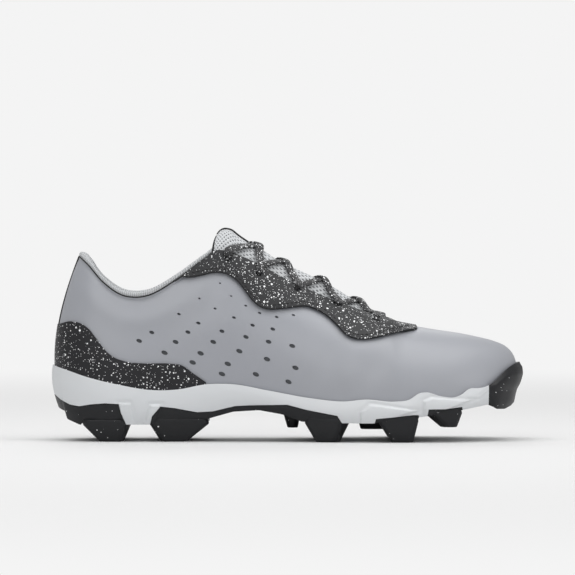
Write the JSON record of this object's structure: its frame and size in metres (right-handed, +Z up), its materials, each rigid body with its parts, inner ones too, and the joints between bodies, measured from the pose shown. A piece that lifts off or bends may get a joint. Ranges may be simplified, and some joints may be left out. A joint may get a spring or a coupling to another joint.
{
  "type": "baseball cleat",
  "caption": "Low-cut lace-up sports shoe with a moulded studded outsole, hollow lasted upper, eyestay, heel counter, padded tongue and collar.",
  "frame": {"origin": "on the ground under the centre of the bounding box", "axes": "+X along the shoe to the toe, +Y to the inner side of the foot, +Z up"},
  "size_m": [0.2984, 0.1066, 0.1336],
  "materials": {
    "rubber": "satin near-black moulded rubber with a few pale specks on the studs",
    "midsole_foam": "smooth satin off-white foam",
    "synthetic": "smooth grey synthetic leather with a soft sheen",
    "lining_mesh": "light grey mesh",
    "speckled_overlay": "satin charcoal overlay with white speckles",
    "lace": "matte woven black lace with pale flecks"
  },
  "bodies": {
    "root": {"outsole": "rubber", "midsole": "midsole_foam", "upper": "synthetic", "insole": "lining_mesh", "tongue": "lining_mesh", "collar": "lining_mesh", "eyestay": "speckled_overlay", "heel_counter": "speckled_overlay", "lace_crossing_1": "lace", "lace_crossing_2": "lace", "lace_crossing_3": "lace", "lace_crossing_4": "lace", "lace_bar": "lace"}
  },
  "joints": []
}
